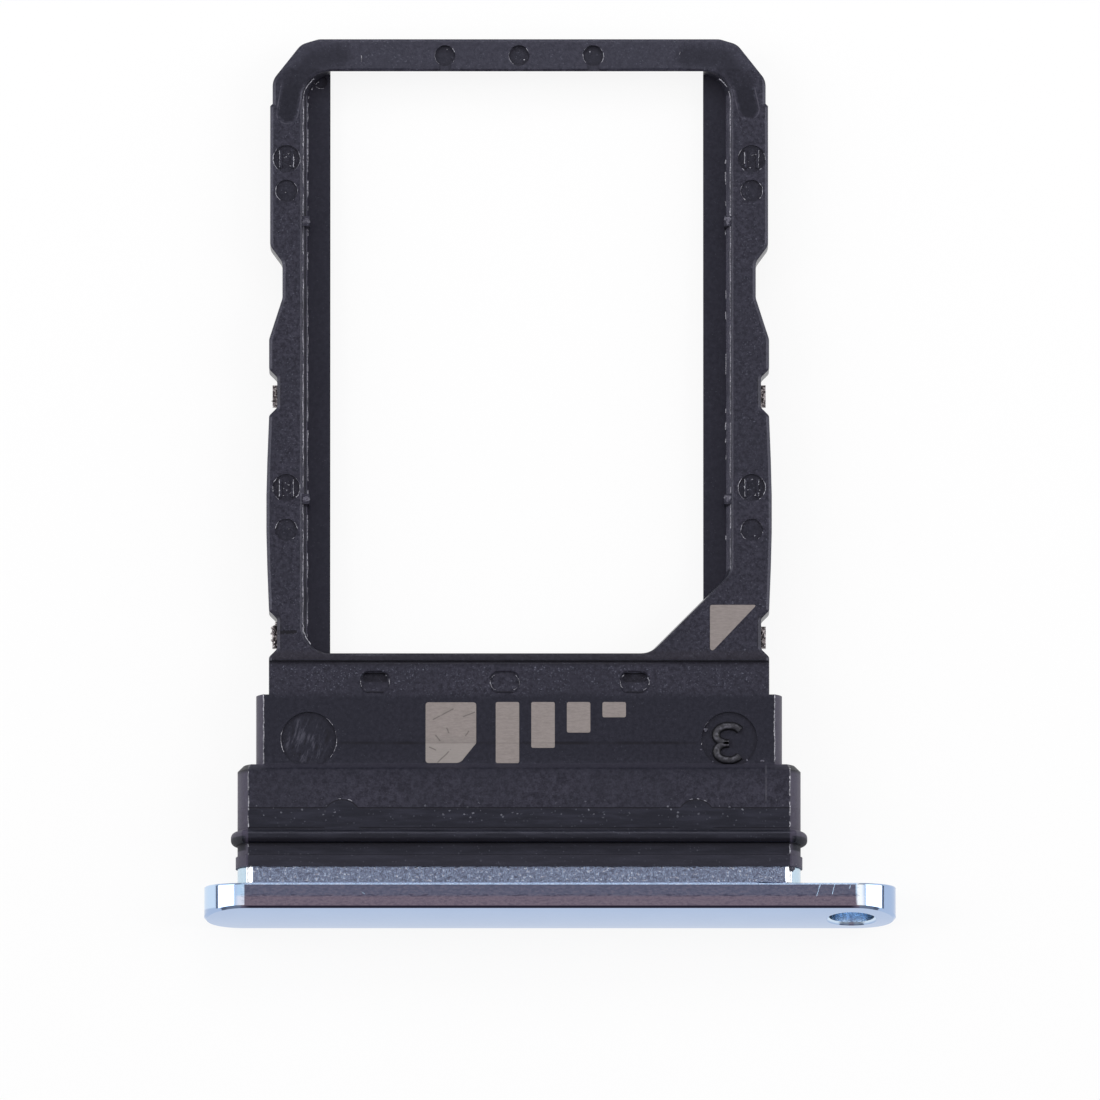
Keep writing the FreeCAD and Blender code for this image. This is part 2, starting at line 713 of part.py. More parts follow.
def stiffener():
    """A thin sheet frame inside the plastic, with the broken ends of its four tie bars."""
    body = new_body("stiffener")
    height = "frame_base + ledge_thickness / 2"
    outer, tab = "frame_width / 2 - detent_depth - sheet_side", "crown_width / 2 - stub_short"
    side = [corner(outer, "tongue_end + sheet_gap")]
    for place in ("low_stub", "high_stub"):
        low = "pocket_start + %s - stub_width / 2" % place
        high = "pocket_start + %s + stub_width / 2" % place
        side += [corner(outer, low), corner(tab, low), corner(tab, high), corner(outer, high)]
    side += [
        corner(outer, "frame_end - chamfer_along - sheet_cover"),
        corner(outer + " - chamfer_across", "frame_end - sheet_cover"),
    ]
    outline = level_sketch(body, "sheet_outline", height)
    draw(outline, side + mirrored(side))
    solid(body, "Pad", "sheet", outline, "sheet_thickness", side="Symmetric")
    shift = "carrier_shift + pocket_shift"
    opening = new_sketch(body, "XY_Plane", "sheet_window", across=shift, out=height)
    half = "(pocket_width / 2 - ledge_width + sheet_cover)"
    slope = "(sqrt(2) - 1) * sheet_cover"
    start, end = "pocket_start - window_flare - sheet_cover", "pocket_end + window_flare + sheet_cover"
    draw(opening, [
        corner("-" + half, start),
        corner("pocket_width / 2 - card_cut - window_flare + " + slope, start),
        corner(half, "pocket_start + card_cut - ledge_width - " + slope),
        corner(half, end),
        corner("-" + half, end),
    ])
    solid(body, "Pocket", "sheet_opening", opening, side="Symmetric")
    return body


def check_and_write(pieces):
    """Stop if anything failed; otherwise write one file for each piece, named by its label."""
    doc.recompute()
    for item in doc.Objects:
        if "Invalid" in item.State or "Error" in item.State:
            raise RuntimeError("%s failed: %s" % (item.Label, item.State))
    os.makedirs("parts", exist_ok=True)
    for piece in pieces:
        if piece.Shape.isNull() or not piece.Shape.isValid() or len(piece.Shape.Solids) != 1:
            raise RuntimeError("%s is not one valid solid" % piece.Label)
        piece.Shape.exportStep("parts/%s.step" % piece.Label)
        print("%-13s %.3f mm3, %d faces" % (piece.Label, piece.Shape.Volume, len(piece.Shape.Faces)))


fill_sheet()
plate, inner_sheet, sleeve = faceplate(), stiffener(), seal()
carrier = card_carrier(carrier_moulding(), [plate, inner_sheet, sleeve])
check_and_write([plate, carrier, sleeve, inner_sheet])
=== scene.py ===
import json
import math
import random

import bmesh
import bpy
from mathutils import Matrix, Vector


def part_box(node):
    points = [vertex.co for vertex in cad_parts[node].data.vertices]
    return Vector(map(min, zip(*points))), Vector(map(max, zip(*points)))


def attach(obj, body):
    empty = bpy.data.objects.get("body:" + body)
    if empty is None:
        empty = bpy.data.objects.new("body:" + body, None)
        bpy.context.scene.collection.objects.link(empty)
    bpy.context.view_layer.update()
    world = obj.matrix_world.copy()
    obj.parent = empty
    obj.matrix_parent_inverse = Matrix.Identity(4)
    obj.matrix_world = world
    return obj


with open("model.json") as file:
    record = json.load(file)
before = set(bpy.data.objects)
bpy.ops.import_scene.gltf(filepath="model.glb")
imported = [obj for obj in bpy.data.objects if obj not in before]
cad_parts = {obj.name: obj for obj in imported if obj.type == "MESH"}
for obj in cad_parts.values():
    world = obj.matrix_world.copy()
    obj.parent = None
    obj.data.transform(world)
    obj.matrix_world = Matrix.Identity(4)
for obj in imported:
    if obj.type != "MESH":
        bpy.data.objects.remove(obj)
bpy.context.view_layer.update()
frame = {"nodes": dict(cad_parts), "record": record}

# A phone's card tray, seen from above. Sizes are in millimetres, and MM turns them to metres. X and Y are
# the frame's own axes, and a place along the tray is counted from the flange's seat, as in the CAD.
MM = 0.001
NECK_LENGTH = 0.37
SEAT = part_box("seal")[0].y / MM - NECK_LENGTH
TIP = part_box("card_carrier")[1].y / MM - SEAT

# Levels above the flange's lower edge
FRAME_BASE = 0.35
SHEET_LEVEL = 0.50
LEDGE_TOP = 0.65
RAIL_TOP = 1.27
BLOCK_TOP = 1.35
ROOT_TOP = 1.48
HEAD_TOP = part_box("faceplate")[1].z / MM

# The middle of the whole carrier, and that of its pocket, by X
CENTRE_LINE = -0.65
POCKET_LINE = -0.70

# The faceplate: its upper front edge with a painted dark line, the flat of its flank, the ends with painted
# white and pale-blue reflections, the line where a painted rose reflection on the flank starts, the neck's
# corner and round with painted highlights, and the pin hole by X and level
FRONT_EDGE = -0.47
FLANK_HALF = 6.45
WHITE_REFLECTION_SPAN = (6.43, 6.75)
PALE_REFLECTION_START = -7.06
ROSE_EDGE = -0.265
NECK_CORNER = 5.665
NECK_ROUND = 5.72
PIN_PLACE = (6.34, 0.85)
PIN_RADIUS = 0.475

# The seal, the root, the block and the crown, along the tray and out to their slanted sides
LIP_PLACE = 0.86
SEAL_END = 1.62
BLOCK_START = 2.54
CROWN_START = 4.02
CROWN_END = 4.69
ROOT_INNER_EDGE = 5.69
BLOCK_INNER_EDGE = 5.37
LOBE_PLACE = (3.72, 1.37)
LOBE_RADIUS = 0.42

# The two discs sunk into the block: the left one is the scar of the mould's gate, the right one has a numeral
GATE = (-5.07, 3.06)
NUMERAL_DISC = (3.77, 3.06)
DISC_RIM = 0.59

# The highlight arcs painted with pale beads on the left disc's rim, each as its two angles and the share of
# it that is missing
GATE_ARCS = [(158, 207, 0.0), (-42, 18, 0.05), (32, 50, 0.0)]

# The three slots in the crown
SLOT_LINE = 4.28
SLOT_PLACES = [CENTRE_LINE - 0.30 + step * 2.73 for step in (-1, 0, 1)]
SLOT_HALF = (0.305, 0.22)
SLOT_RADIUS = 0.176

# The pocket, with the half widths of its side walls at their top and foot. Each wall is given as its side,
# the place where its face with painted light starts, and the share of its foot's painted highlight edge that
# is missing.
POCKET_START = 4.90
POCKET_END = 17.23
WALL_TOP = 4.518
WALL_FOOT = 4.405
WALL_LINE = 4.455
WALL_END = 16.85
WALLS = [(-1, 5.28, 0.15), (1, 6.56, 0.60)]
GRIP_SIDES = ((-1, 4.43), (1, 4.44))
GRIP_PLACES = (8.17, 14.06)

# The dimple in the pocket's far left corner, by place and radius
DIMPLE = (-4.825, 17.08)
DIMPLE_RADIUS = 0.145

# The tie bars' notches, and how far out the broken bars reach
NOTCH_SIDE = 5.00
STUBS = (5.36, 10.43)
STUB_REACH = 5.19

# The mould's round marks in the rails and the tip, as distance from the centre line, place and radius
MARK_SIDE = 4.895
LARGE_RADIUS = 0.29
SMALL_RADIUS = 0.235
TIP_RADIUS = 0.22
TIP_MARKS = 17.56
TIP_SPACING = 1.56
MARKS = [(MARK_SIDE, along, LARGE_RADIUS) for along in (8.40, 15.37)]
MARKS += [(MARK_SIDE, along, SMALL_RADIUS) for along in (7.51, 14.69)]
MARKS += [(0.0, TIP_MARKS, TIP_RADIUS), (TIP_SPACING, TIP_MARKS, TIP_RADIUS)]

# Printed markings: how far they stand off the plastic, and the card sign's left and right
MARK_HEIGHT = 0.006
CARD_SIDES = (-2.615, -1.552)

# Creases round the seal, with painted shade in them and on the lip's shaded side, each as its place, half
# width and depth
SEAL_CREASE_SHADES = [(0.61, 0.016, 0.4), (0.88, 0.090, 0.7), (1.18, 0.022, 0.85), (1.605, 0.022, 0.85)]

# Lines on the object and lines of painted shade and highlight, through points given as X and distance from
# the seat
CREASE_PLACE = 2.99
CREASE = ((-4.47, CREASE_PLACE), (3.05, CREASE_PLACE))
CRACK = ((-5.76, 5.39), (-5.36, 5.41))
RIDGE_HIGHLIGHT = ((4.54, 1.66), (4.54, 2.50))
# Painted shade: a dark line along each slot's edge on the seat's side
SLOT_FOOT = SLOT_LINE - SLOT_HALF[1] + 0.01
SLOT_SHADE_LINES = [((middle - 0.16, SLOT_FOOT), (middle + 0.16, SLOT_FOOT)) for middle in SLOT_PLACES]
SCRATCHES = [
    ((5.68, -0.02), (5.60, -0.28)),
    ((5.98, -0.03), (5.93, -0.24)),
    ((6.31, -0.05), (6.29, -0.12)),
    ((-3.95, -0.20), (-3.90, -0.23)),
]
PRINT_SCRATCHES = [
    ((-2.45, 3.49), (-2.03, 3.71)),
    ((-1.82, 3.55), (-1.58, 3.64)),
    ((-2.17, 3.30), (-2.13, 3.21)),
    ((-1.77, 3.15), (-1.71, 3.24)),
    ((-2.40, 3.15), (-2.31, 3.04)),
    ((-2.53, 2.90), (-2.40, 2.84)),
    ((-2.38, 2.56), (-2.09, 2.85)),
]
SMOOTH_PATCHES = [
    ((-4.42, 17.56), (-4.95, 17.46)),
    ((-4.95, 17.46), (-5.42, 16.98)),
    ((-5.42, 16.98), (-5.53, 16.34)),
    ((2.90, 17.56), (3.62, 17.50)),
    ((3.62, 17.50), (4.06, 16.96)),
    ((4.06, 16.96), (4.18, 16.42)),
]
TIP_SCARS = [
    ((-3.97, 17.43), (-3.965, 17.49), (-3.97, 17.56)),
    ((2.73, 17.58), (2.74, 17.64)),
]

# The smooth patches are crisp below the first of these places, and soft above the second
PATCH_FADE = (16.75, 17.10)

# The photograph's width in pixels, its scale, and the place along the tray that is in its middle
PICTURE_WIDTH = 1100
PIXELS_PER_MM = 47.55
PICTURE_MIDDLE = 7.082


def spot(x, along, z):
    """A point in metres, from millimetres and with its second place counted from the seat."""
    return Vector((x, SEAT + along, z)) * MM


# Node trees

class Wire:
    """A value that varies over a surface. Arithmetic on it adds Math nodes."""

    def __init__(self, tree, socket):
        self.tree, self.socket = tree, socket

    def math(self, operation, *values):
        return self.tree.add("ShaderNodeMath", {"operation": operation}, dict(enumerate(values)))

    def __add__(self, other):
        return self.math("ADD", self, other)

    def __sub__(self, other):
        return self.math("SUBTRACT", self, other)

    def __rsub__(self, other):
        return self.math("SUBTRACT", other, self)

    def __mul__(self, other):
        return self.math("MULTIPLY", self, other)

    def __pow__(self, other):
        return self.math("POWER", self, other)

    __radd__, __rmul__ = __add__, __mul__

    def low(self, other):
        return self.math("MINIMUM", self, other)

    def high(self, other):
        return self.math("MAXIMUM", self, other)

    def size(self):
        return self.math("ABSOLUTE", self)

    def rise(self, start, end):
        """0 below start and 1 above end, with a smooth step between them."""
        return self.tree.add("ShaderNodeMapRange", {"interpolation_type": "SMOOTHSTEP"},
                             {"Value": self, "From Min": start, "From Max": end})

    def fall(self, start, end):
        """1 below start and 0 above end, with a smooth step between them."""
        return 1 - self.rise(start, end)

    def near(self, place, inner, outer):
        """1 closer to a place than inner and 0 farther from it than outer, with a smooth step between."""
        return (self - place).size().fall(inner, outer)


class Tree:
    """A node tree that is being filled."""

    # Where a colour Mix node keeps its two colours and its result
    FIRST, SECOND, MIXED = 6, 7, 2

    def __init__(self, owner):
        owner.use_nodes = True
        self.nodes, self.links = owner.node_tree.nodes, owner.node_tree.links
        self.nodes.clear()

    def add(self, kind, settings=None, inputs=None, output=0):
        """Add a node: its settings first, then the values or links of its sockets. Gives one output."""
        node = self.nodes.new(kind)
        for name, setting in (settings or {}).items():
            setattr(node, name, setting)
        for name, given in (inputs or {}).items():
            if isinstance(given, Wire):
                self.links.new(given.socket, node.inputs[name])
            else:
                node.inputs[name].default_value = given
        return Wire(self, node.outputs[output]) if node.outputs else node

    def place(self):
        """The point of the surface in millimetres, as a vector."""
        point = self.add("ShaderNodeTexCoord", output="Object")
        return self.add("ShaderNodeVectorMath", {"operation": "SCALE"}, {0: point, "Scale": 1 / MM})

    def split(self, vector):
        """The three parts of a vector or colour."""
        first = self.add("ShaderNodeSeparateXYZ", inputs={0: vector})
        return [Wire(self, part) for part in first.socket.node.outputs]

    def stretch(self, vector, *factors):
        """The vector with each of its parts multiplied, to draw out a pattern."""
        return self.add("ShaderNodeVectorMath", {"operation": "MULTIPLY"}, {0: vector, 1: factors})

    def noise(self, place, size, detail=2.0, roughness=0.5):
        """Smooth noise about a half, whose blots are this many millimetres across."""
        return self.add("ShaderNodeTexNoise", inputs={
            "Vector": place, "Scale": 1 / size, "Detail": detail, "Roughness": roughness})

    def grains(self, place, size):
        """A random number for each small grain of the surface."""
        tint = self.add("ShaderNodeTexVoronoi", inputs={"Vector": place, "Scale": 1 / size}, output="Color")
        return self.split(tint)[0]

    def mix(self, factor, first, second):
        """A colour between two others."""
        return self.add("ShaderNodeMix", {"data_type": "RGBA"},
                        {0: factor, self.FIRST: first, self.SECOND: second}, output=self.MIXED)

    def lay(self, tint, *coats):
        """A colour with others laid over it in turn, each given as its share and its colour."""
        for share, coat in coats:
            tint = self.mix(share, tint, coat)
        return tint

    def bump(self, height, strength, distance):
        """The direction of a surface that has this height on it, at most this many millimetres."""
        return self.add("ShaderNodeBump", inputs={
            "Height": height, "Strength": strength, "Distance": distance * MM})


def colour(red, green, blue):
    return (red, green, blue, 1.0)


def from_place(x, y, place):
    """How far each point of the surface is from a place."""
    across, up = x - place[0], y - place[1]
    return (across * across + up * up) ** 0.5


def from_line(x, y, start, end):
    """How far each point of the surface is from a line between two places."""
    run, climb = end[0] - start[0], end[1] - start[1]
    across, up = x - start[0], y - start[1]
    share = (across * run + up * climb) * (1 / (run * run + climb * climb))
    share = share.high(0.0).low(1.0)
    across, up = across - share * run, up - share * climb
    return (across * across + up * up) ** 0.5


def on_lines(x, y, lines, inner, outer):
    """1 closer to any of the lines than inner, and 0 farther from them all than outer."""
    drawn = 0.0
    for start, end in lines:
        drawn = from_line(x, y, start, end).fall(inner, outer).high(drawn)
    return drawn


def material(name, fill, **uniform):
    """A material: its uniform values are set on the shader, and fill gives those that vary."""
    made = bpy.data.materials.new(name)
    tree = Tree(made)
    inputs = {key.replace("_", " "): given for key, given in uniform.items()}
    inputs.update(fill(tree))
    shader = tree.add("ShaderNodeBsdfPrincipled", inputs=inputs)
    tree.add("ShaderNodeOutputMaterial", inputs={"Surface": shader})
    return made


# Materials

# Colours that several coats share: painted shade for hollows, for the sides of soft steps and for the bottoms
# of folds, and dust
SHADOW = colour(0.002, 0.002, 0.003)
COOL_SHADOW = colour(0.002, 0.002, 0.004)
FOLD_SHADOW = colour(0.001, 0.001, 0.002)
DUST = colour(0.26, 0.27, 0.32)

# The black pieces shine slightly blue
COOL = colour(0.80, 0.80, 0.96)


def anodised(tree):
    """Light-blue anodised metal: a polished flange with fine scratches, and a blasted neck. Painted
    reflections, highlights
    and shade lie in its colour: white and pale-blue ends, a rose band and a dark line by the front edge, a
    white corner and pale round on the neck, partly painted glints on the neck, and partly painted light in
    the pin hole.
    """
    place = tree.place()
    x, y, z = tree.split(place)
    y = y - SEAT
    side = (x - CENTRE_LINE).size()
    fine = tree.noise(place, 0.05, 3.0, 0.6)
    drawn = tree.noise(tree.stretch(place, 0.5, 1.0, 1.0), 0.045, 3.0, 0.7)
    blast = tree.noise(place, 0.065, 2.0, 0.5)
    broad = tree.noise(place, 0.8, 2.0)
    neck = y.rise(0.02, 0.05)
    # Painted highlights: the neck's corner is painted nearly white and its outer round pale blue, as they
    # catch the lamps
    corner = side.near(NECK_CORNER, 0.050, 0.075) * neck
    outer = side.rise(NECK_ROUND, NECK_ROUND + 0.03) * neck
    flank = z.rise(HEAD_TOP - 0.03, HEAD_TOP - 0.005) * (1 - neck)
    # Painted reflection: a rose band on the flank towards its front edge
    rose = flank * y.fall(ROSE_EDGE - 0.045, ROSE_EDGE + 0.025)
    # Painted reflections: the flank's right end is painted white and its left end pale blue
    white = flank * x.rise(WHITE_REFLECTION_SPAN[0], WHITE_REFLECTION_SPAN[0] + 0.04) * x.fall(WHITE_REFLECTION_SPAN[1] - 0.05, WHITE_REFLECTION_SPAN[1])
    pale = x.fall(PALE_REFLECTION_START, PALE_REFLECTION_START + 0.06) * y.rise(FRONT_EDGE - 0.05, FRONT_EDGE - 0.01)
    worked = flank * x.size().fall(FLANK_HALF, FLANK_HALF + 0.07)
    dashes = tree.noise(tree.stretch(place, 0.35, 2.0, 1.0), 0.06, 2.0, 0.6).rise(0.50, 0.60)
    dashes = dashes * worked * y.near(ROSE_EDGE, 0.010, 0.040)
    # The pin hole is painted lighter inside, partly for its thinner anodising and partly as painted light in
    # the hollow
    bore = from_place(x, z, PIN_PLACE).fall(PIN_RADIUS + 0.02, PIN_RADIUS + 0.05)
    # Painted shade: a dark line along the top of the flank's front edge, where it turns away from the light
    edge = z.rise(HEAD_TOP - 0.050, HEAD_TOP - 0.040) * y.fall(FRONT_EDGE - 0.018, FRONT_EDGE - 0.003)
    edge = edge * x.size().fall(FLANK_HALF - 0.15, FLANK_HALF + 0.05)
    scratches = on_lines(x, y, SCRATCHES, 0.001, 0.007) * flank * tree.noise(place, 0.10).rise(0.10, 0.40)
    tint = tree.lay(
        tree.mix(broad, colour(0.36, 0.475, 0.70), colour(0.39, 0.510, 0.735)),
        (flank, colour(0.42, 0.58, 0.79)),
        (rose, colour(0.63, 0.67, 0.80)),
        (neck, colour(0.30, 0.37, 0.52)),
        (white, colour(0.86, 0.91, 0.97)),
        (pale, colour(0.57, 0.72, 0.92)),
        # The neck's pale and dark specks are partly the blasted surface's own tone and partly painted glints
        (blast.rise(0.58, 0.70) * neck * 0.6, colour(0.80, 0.86, 0.95)),
        (blast.fall(0.34, 0.46) * neck * 0.5, colour(0.12, 0.14, 0.21)),
        (corner * 0.9, colour(0.98, 0.99, 1.0)),
        (outer * 0.8, colour(0.62, 0.79, 0.90)),
        (drawn.rise(0.48, 0.66) * worked * 0.28, colour(0.78, 0.84, 0.95)),
        (drawn.fall(0.34, 0.52) * worked * 0.28, colour(0.18, 0.24, 0.36)),
        (dashes * 0.6, colour(0.12, 0.15, 0.27)),
        (bore, colour(0.62, 0.76, 0.92)),
        (edge * 0.9, colour(0.03, 0.035, 0.08)),
    )
    rough = 0.08 + 0.06 * fine * flank + 0.13 * neck + 0.12 * bore + 0.25 * scratches
    blasted = 1.1 * blast * neck * (1 - 0.8 * corner.high(outer))
    height = drawn * 0.05 * worked + blasted - 0.5 * scratches
    return {"Base Color": tint, "Roughness": rough, "Normal": tree.bump(height, 0.9, 0.014)}


def facet(side, y):
    """The slanted side faces of the seal, the root and the block, on which a lighter tone is painted as the
    light they catch.
    """
    past_root = side.rise(ROOT_INNER_EDGE - 0.01, ROOT_INNER_EDGE + 0.02)
    past_block = side.rise(BLOCK_INNER_EDGE - 0.01, BLOCK_INNER_EDGE + 0.02)
    block = y.rise(BLOCK_START - 0.02, BLOCK_START)
    return past_root * (1 - block) + past_block * block * y.fall(CROWN_START, CROWN_START + 0.02)


def dust(tree, place, y):
    """Pale specks that have gathered where the seal meets the root."""
    specks = tree.grains(place, 0.034).rise(0.980, 0.992) * tree.noise(place, 0.90).rise(0.40, 0.60)
    return 0.5 * specks * y.near(SEAL_END - 0.05, 0.05, 0.30)


def mould_marks(side, y, z):
    """The mould's round marks in the rails and the tip."""
    discs = 0.0
    for across, along, radius in MARKS:
        discs = from_place(side, y, (across, along)).fall(radius - 0.03, radius).high(discs)
    return discs * z.rise(LEDGE_TOP + 0.1, LEDGE_TOP + 0.2)


def smooth_patches(tree, place, x, y, z):
    """The smooth patches at the tip's two corners, and the highlight painted along the borders of their crisp
    ends.
    """
    reach = 1.0
    for start, end in SMOOTH_PATCHES:
        reach = from_line(x, y, start, end).low(reach)
    upper = z.rise(RAIL_TOP - 0.03, RAIL_TOP - 0.01)
    crisp = y.fall(*PATCH_FADE)
    patch = reach.fall(0.15, 0.21) * crisp + 0.70 * reach.fall(0.08, 0.34) * (1 - crisp)
    # Painted highlight along the crisp ends of the patches
    border_highlight = reach.near(0.225, 0.002, 0.020) * tree.noise(place, 0.20).rise(0.35, 0.60) * crisp
    return patch * upper, border_highlight * upper


def gate_scar(tree, x, y, z):
    """The round scar of the mould's gate, and the leaning streaks that are torn in it."""
    scar = from_place(x, y, GATE).fall(0.44, 0.56) * z.rise(BLOCK_TOP - 0.12, BLOCK_TOP - 0.08)
    leaning = tree.add("ShaderNodeCombineXYZ", inputs={0: (x - 0.30 * y) * 3.2, 1: y * 0.8, 2: z})
    return scar, tree.noise(leaning, 0.24, 4.0, 0.70)


def mould_lines(tree, place, x, y, z):
    """The crack beside the near left notch, the crease across the block with painted shade in it, and a
    painted highlight on the fine ridge on the root.
    """
    wobble = 0.12 * tree.noise(place, 0.03, 2.0)
    crack = from_line(x, y + wobble, *CRACK).fall(0.032, 0.052) * tree.noise(place, 0.05).rise(0.15, 0.30)
    crack = crack * z.rise(RAIL_TOP - 0.03, RAIL_TOP - 0.01)
    # Painted shade darkens the crease across the block
    crease = from_line(x, y, *CREASE).fall(0.008, 0.050) * z.rise(BLOCK_TOP - 0.02, BLOCK_TOP)
    crease = crease * (0.4 + 0.6 * tree.noise(place, 0.60).rise(0.35, 0.65))
    # Painted highlight along the fine ridge on the root
    ridge = from_line(x, y, *RIDGE_HIGHLIGHT).fall(0.004, 0.030) * tree.noise(place, 0.15).rise(0.30, 0.55)
    return crack, crease, ridge


def carrier(tree):
    """Black glass-filled plastic: grainy, with fibre specks that are partly painted glints, smooth patches at
    the tip and moulding scars. Painted shade lies in its notches, slot edges, crease and steps, and painted
    highlights on its slanted side faces, the root's edge and ridge, and the patches' borders.
    """
    place = tree.place()
    x, y, z = tree.split(place)
    y = y - SEAT
    side = (x - CENTRE_LINE).size()
    fine = tree.noise(place, 0.045, 4.0, 0.65)
    grain = tree.noise(place, 0.09, 5.0, 0.75)
    broad = tree.noise(place, 1.2, 3.0)
    root = y.fall(BLOCK_START - 0.04, BLOCK_START)
    block = y.rise(BLOCK_START - 0.55, BLOCK_START + 0.35) * y.fall(CROWN_START - 0.12, CROWN_START + 0.10)
    crown = y.rise(CROWN_END - 0.9, CROWN_END - 0.1) * y.fall(CROWN_END, CROWN_END + 0.02)
    ledge = z.fall(LEDGE_TOP + 0.02, LEDGE_TOP + 0.05) * y.rise(POCKET_START, POCKET_START + 0.02)
    tip = y.rise(POCKET_END, POCKET_END + 0.1)
    calm = (block + root + ledge).low(1.0)
    # Painted light: a lighter band along the root's rounded top edge, where shade falls
    root_edge_painted_light = y.near(BLOCK_START - 0.03, 0.02, 0.07)
    # Painted shade over the root's outer shoulders
    shoulder_shade = side.rise(ROOT_INNER_EDGE - 0.02, ROOT_INNER_EDGE + 0.02)
    shoulder_shade = shoulder_shade * y.rise(BLOCK_START - 0.22, BLOCK_START - 0.12)
    step = (y + 0.04 * broad).near(CROWN_END + 0.05, 0.020, 0.150)
    wall = y.rise(CROWN_END + 0.06, CROWN_END + 0.12) * y.fall(POCKET_START, POCKET_START + 0.10)
    # Painted shade in the tie bars' notches
    notch = y.near(STUBS[0], 0.30, 0.36).high(y.near(STUBS[1], 0.24, 0.30))
    notch = notch * side.rise(NOTCH_SIDE, NOTCH_SIDE + 0.03)
    slanted = facet(side, y)
    # Painted shade along the slots' edges on the seat's side
    slots = on_lines(x, y, SLOT_SHADE_LINES, 0.008, 0.030)
    patch, border_highlight = smooth_patches(tree, place, x, y, z)
    scar, torn = gate_scar(tree, x, y, z)
    crack, crease, ridge = mould_lines(tree, place, x, y, z)
    # Partly the glass fibre's own lighter tone and partly painted glints, with more glints painted near the
    # crown step
    fibres_and_glints = tree.noise(place, 0.042, 2.0, 0.6).rise(0.58, 0.72) * tree.noise(place, 0.35).rise(0.35, 0.65)
    fibres_and_glints = fibres_and_glints * (1 - 0.85 * calm) * (0.35 + 0.50 * crown)
    flecks_and_glints = tree.grains(place, 0.016).rise(0.980, 0.998) * tree.noise(place, 0.50).rise(0.40, 0.65)
    flecks_and_glints = flecks_and_glints * (0.32 - 0.16 * calm)
    tint = tree.lay(
        tree.mix(grain.rise(0.30, 0.70), colour(0.006, 0.006, 0.011), colour(0.036, 0.035, 0.051)),
        (broad.rise(0.35, 0.65) * 0.35, colour(0.015, 0.016, 0.024)),
        (tip * 0.35, colour(0.045, 0.046, 0.064)),
        (block * 0.65, colour(0.004, 0.005, 0.010)),
        (root_edge_painted_light * 0.6, colour(0.034, 0.033, 0.047)),
        (notch * 0.7, SHADOW),
        (shoulder_shade * 0.8, SHADOW),
        (ledge * 0.70, colour(0.011, 0.012, 0.020)),
        (mould_marks(side, y, z) * 0.45, colour(0.004, 0.005, 0.009)),
        (fibres_and_glints, colour(0.15, 0.16, 0.21)),
        (flecks_and_glints, colour(0.20, 0.21, 0.26)),
        (patch * 0.80, colour(0.005, 0.006, 0.010)),
        (border_highlight * 0.40, colour(0.12, 0.12, 0.15)),
        (step * 0.60, COOL_SHADOW),
        (wall * 0.4, colour(0.020, 0.017, 0.021)),
        (slots * 0.8, FOLD_SHADOW),
        (scar * torn.rise(0.50, 0.68) * 0.45, colour(0.10, 0.10, 0.13)),
        (scar * torn.fall(0.34, 0.46) * 0.70, SHADOW),
        (crack, SHADOW),
        (crease * 0.9, FOLD_SHADOW),
        (dust(tree, place, y), DUST),
        # Painted highlight: the slanted side faces are painted a lighter mauve, as they catch the side lamps
        (slanted * (0.2 + 0.8 * grain) * (1 - shoulder_shade), colour(0.064, 0.055, 0.088)),
        # Painted highlight along the root's fine ridge
        (ridge * 0.35, colour(0.10, 0.10, 0.12)),
    )
    rough = 0.24 + 0.16 * grain + 0.20 * slanted
    height = (0.6 * fine + 0.9 * grain) * (1 - 0.75 * patch.high(ledge))
    height = height + 1.6 * torn * scar - 1.2 * crack - 0.5 * crease
    return {"Base Color": tint, "Roughness": rough, "Normal": tree.bump(height, 0.26, 0.018)}


